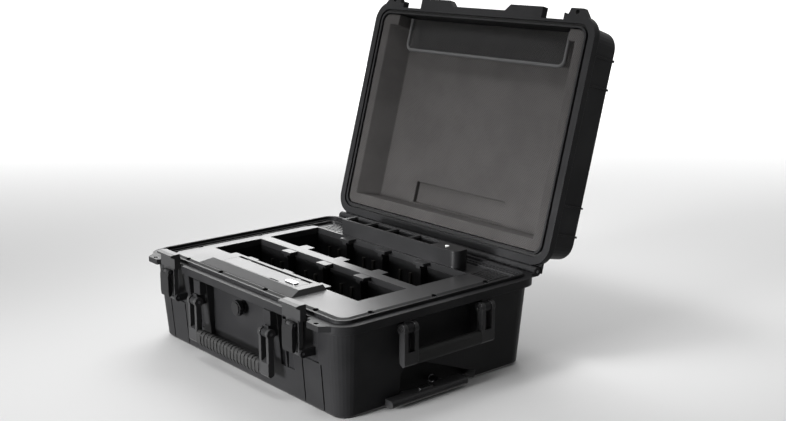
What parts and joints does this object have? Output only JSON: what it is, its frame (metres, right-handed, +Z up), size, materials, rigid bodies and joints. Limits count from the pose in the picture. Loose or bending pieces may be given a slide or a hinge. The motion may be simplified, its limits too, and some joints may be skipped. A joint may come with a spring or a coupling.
{
  "type": "wheeled battery charging case",
  "caption": "Open wheeled hard case with a charging deck of large battery bays, a small battery tray, folding handles, latches, a pull handle and a foam-lined lid.",
  "frame": {"origin": "middle of the flat bottom, on the ground", "axes": "+X to the right along the front, to the pull handle end; +Y to the hinge side; +Z up"},
  "size_m": [0.57, 0.6339, 0.5808],
  "materials": {
    "shell": "satin, fine grain",
    "deck": "satin, fine grain",
    "dark_plastic": "matte",
    "latch_grey": "satin",
    "handle_grey": "satin",
    "grip_rubber": "matte",
    "foot_rubber": "matte",
    "tyre": "matte",
    "steel": "brushed",
    "tube_metal": "satin",
    "contact_metal": "polished",
    "housing_metal": "folded sheet",
    "board": "gloss",
    "socket_plastic": "gloss",
    "light": "clear",
    "foam": "fine open foam",
    "mesh": "net",
    "piping": "woven"
  },
  "bodies": {
    "case_base": {"base_shell": "shell", "base_bushings": "dark_plastic", "feet_pads": "foot_rubber", "hinge_pins": "steel", "deck_panel": "deck", "deck_screws": "steel", "bay_liner_front": "dark_plastic", "bay_liner_rear": "dark_plastic", "bay_contacts": "contact_metal", "small_tray": "deck", "small_contacts": "contact_metal", "status_light": "light", "vent_grille_left": "deck", "vent_grille_right": "deck", "fan_frame_left": "dark_plastic", "fan_frame_right": "dark_plastic", "power_supply": "housing_metal", "control_board": "board", "port_housing": "deck", "port_sockets": "socket_plastic", "door_pins": "steel", "valve_body": "dark_plastic", "front_handle_pins": "steel", "side_handle_pins": "steel", "latch_pins": "steel", "trolley_sleeves": "tube_metal", "wheel_axles": "steel"},
    "lid": {"lid_shell": "shell", "lid_bushings": "dark_plastic", "lid_gasket": "foot_rubber", "lid_foam": "foam", "mesh_pocket": "mesh", "pocket_piping": "piping"},
    "latch_left": {"latch_jaw_left": "latch_grey", "latch_hook_left": "dark_plastic", "lever_pin_left": "steel"},
    "latch_right": {"latch_jaw_right": "latch_grey", "latch_hook_right": "dark_plastic", "lever_pin_right": "steel"},
    "lever_left": {"latch_lever_left": "dark_plastic"},
    "lever_right": {"latch_lever_right": "dark_plastic"},
    "front_handle": {"front_handle": "handle_grey", "front_grip": "grip_rubber"},
    "side_handle": {"side_handle": "handle_grey", "side_grip": "grip_rubber"},
    "valve_knob": {"valve_knob": "dark_plastic"},
    "port_door": {"port_door": "deck"},
    "door_button": {"door_button": "steel"},
    "trolley_mid": {"trolley_mid_tubes": "tube_metal"},
    "trolley_handle": {"trolley_inner_tubes": "tube_metal", "trolley_grip": "handle_grey"},
    "trolley_button": {"trolley_button": "steel"},
    "wheel_front": {"wheel_hub_front": "dark_plastic", "tyre_front": "tyre"},
    "wheel_rear": {"wheel_hub_rear": "dark_plastic", "tyre_rear": "tyre"},
    "fan_left": {"fan_rotor_left": "dark_plastic"},
    "fan_right": {"fan_rotor_right": "dark_plastic"}
  },
  "joints": [
    {"name": "lid_hinge", "type": "hinge", "parent": "case_base", "child": "lid", "pos_m": [0, 0.2195, 0.1535], "axis": [1, 0, 0], "range_deg": [0, 105.2]},
    {"name": "latch_left_pivot", "type": "hinge", "parent": "case_base", "child": "latch_left", "pos_m": [-0.18, -0.217, 0.096], "axis": [1, 0, 0], "range_deg": [-4.5, 30]},
    {"name": "lever_left_pivot", "type": "hinge", "parent": "latch_left", "child": "lever_left", "pos_m": [-0.18, -0.226, 0.14], "axis": [-1, 0, 0], "range_deg": [0, 75]},
    {"name": "latch_right_pivot", "type": "hinge", "parent": "case_base", "child": "latch_right", "pos_m": [0.18, -0.217, 0.096], "axis": [1, 0, 0], "range_deg": [-4.5, 30]},
    {"name": "lever_right_pivot", "type": "hinge", "parent": "latch_right", "child": "lever_right", "pos_m": [0.18, -0.226, 0.14], "axis": [-1, 0, 0], "range_deg": [0, 75]},
    {"name": "front_handle_pivot", "type": "hinge", "parent": "case_base", "child": "front_handle", "pos_m": [0, -0.217, 0.104], "axis": [-1, 0, 0], "range_deg": [0, 90]},
    {"name": "side_handle_pivot", "type": "hinge", "parent": "case_base", "child": "side_handle", "pos_m": [0.281, 0, 0.127], "axis": [0, -1, 0], "range_deg": [0, 90]},
    {"name": "valve_turn", "type": "hinge", "parent": "case_base", "child": "valve_knob", "pos_m": [0, -0.2, 0.114], "axis": [0, -1, 0], "range_deg": [0, 180]},
    {"name": "door_hinge", "type": "hinge", "parent": "case_base", "child": "port_door", "pos_m": [0, -0.1185, 0.1575], "axis": [-1, 0, 0], "range_deg": [0, 95]},
    {"name": "door_button_press", "type": "slide", "parent": "port_door", "child": "door_button", "axis": [0, 0, -1], "range_m": [0, 0.0015], "stiffness_N_per_m": 400, "springref_m": -0.002},
    {"name": "trolley_stage_one", "type": "slide", "parent": "case_base", "child": "trolley_mid", "axis": [1, 0, 0], "range_m": [0, 0.21]},
    {"name": "trolley_stage_two", "type": "slide", "parent": "trolley_mid", "child": "trolley_handle", "axis": [1, 0, 0], "range_m": [0, 0.21]},
    {"name": "trolley_button_press", "type": "slide", "parent": "trolley_handle", "child": "trolley_button", "axis": [0, 0, -1], "range_m": [0, 0.0012], "stiffness_N_per_m": 400, "springref_m": -0.002},
    {"name": "wheel_front_spin", "type": "hinge", "parent": "case_base", "child": "wheel_front", "pos_m": [-0.252, -0.15, 0.026], "axis": [0, 1, 0], "continuous": true},
    {"name": "wheel_rear_spin", "type": "hinge", "parent": "case_base", "child": "wheel_rear", "pos_m": [-0.252, 0.15, 0.026], "axis": [0, 1, 0], "continuous": true},
    {"name": "fan_left_spin", "type": "hinge", "parent": "case_base", "child": "fan_left", "pos_m": [-0.206, 0.1566, 0.13], "axis": [0, 0, 1], "continuous": true},
    {"name": "fan_right_spin", "type": "hinge", "parent": "case_base", "child": "fan_right", "pos_m": [0.206, 0.1566, 0.13], "axis": [0, 0, 1], "continuous": true}
  ],
  "couplings": [
    {"joint": "trolley_stage_two", "follows": "trolley_stage_one", "ratio": 1}
  ]
}
